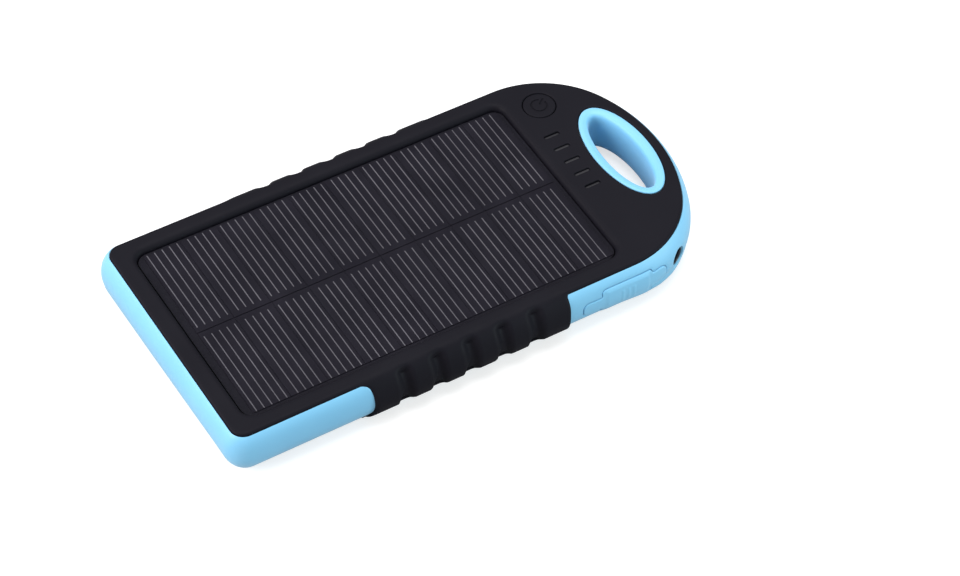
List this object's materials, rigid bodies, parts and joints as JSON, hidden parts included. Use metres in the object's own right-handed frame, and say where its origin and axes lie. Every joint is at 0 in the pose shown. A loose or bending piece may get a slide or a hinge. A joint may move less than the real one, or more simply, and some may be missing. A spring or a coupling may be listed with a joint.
{
  "type": "solar phone charger",
  "caption": "Pocket power bank with a solar panel in its face, a soft bumper, ribbed side grips, plugged ports, a torch and a hanging eye.",
  "frame": {"origin": "middle of the back face, on the plane it rests on", "axes": "+X along the length towards the hanging eye, +Y across the width to the input side, +Z out of the solar face"},
  "size_m": [0.142, 0.075, 0.014],
  "materials": {
    "black_shell": "soft-touch satin black",
    "blue_bumper": "smooth matt silicone, light blue",
    "seal_rubber": "matt grey silicone",
    "steel": "nickel-plated",
    "clear_plastic": "milky clear",
    "glue": "adhesive film",
    "panel_backing": "black solder mask",
    "silicon": "dark monocrystalline silicon",
    "silver_line": "printed silver",
    "laminate": "clear resin laminate",
    "pouch": "aluminium pouch film",
    "foam": "closed-cell foam",
    "board_green": "green solder mask",
    "red_wire": "insulated",
    "black_wire": "insulated",
    "white_plastic": "moulded",
    "black_plastic": "moulded",
    "gold": "gold-plated",
    "red_plastic": "moulded",
    "led_body": "phosphor white",
    "ferrite": "ferrite",
    "ceramic": "ceramic",
    "lens": "clear"
  },
  "bodies": {
    "case": {"front_cover": "black_shell", "back_cover": "black_shell", "bumper_frame": "blue_bumper", "eye_liner": "blue_bumper", "case_gasket": "seal_rubber", "case_screws": "steel", "light_pipe": "clear_plastic", "panel_glue": "glue", "panel_board": "panel_backing", "solar_cells": "silicon", "cell_fingers": "silver_line", "panel_laminate": "laminate", "output_flap_anchor": "blue_bumper", "input_flap_anchor": "blue_bumper", "battery_cell": "pouch", "battery_foam": "foam", "battery_board": "board_green", "battery_lead_red": "red_wire", "battery_lead_black": "black_wire", "main_board": "board_green", "usb_a_shell": "steel", "usb_a_tongue": "white_plastic", "usb_a_contacts": "gold", "micro_usb_shell": "steel", "micro_usb_tongue": "black_plastic", "switch_housing": "black_plastic", "indicator_leds": "led_body", "power_inductor": "ferrite", "board_chips": "black_plastic", "board_capacitors": "ceramic", "panel_lead_red": "red_wire", "panel_lead_black": "black_wire", "torch_lens": "lens", "torch_led": "led_body", "torch_leads": "steel"},
    "button": {"power_button": "black_shell"},
    "plunger": {"switch_plunger": "red_plastic"},
    "output_flap": {"output_flap": "blue_bumper"},
    "input_flap": {"input_flap": "blue_bumper"}
  },
  "joints": [
    {"name": "button_press", "type": "slide", "parent": "case", "child": "button", "axis": [0, 0, -1], "range_m": [0, 0.0003], "stiffness_N_per_m": 50, "springref_m": -0.0001},
    {"name": "plunger_press", "type": "slide", "parent": "case", "child": "plunger", "axis": [0, 0, -1], "range_m": [0, 0.0003]},
    {"name": "output_flap_open", "type": "hinge", "parent": "case", "child": "output_flap", "pos_m": [0.0283, -0.0351, 0.007], "axis": [0, 0, -1], "range_deg": [0, 100]},
    {"name": "input_flap_open", "type": "hinge", "parent": "case", "child": "input_flap", "pos_m": [0.0283, 0.0351, 0.007], "axis": [0, 0, 1], "range_deg": [0, 100]}
  ],
  "couplings": [
    {"joint": "plunger_press", "follows": "button_press", "ratio": 1}
  ]
}
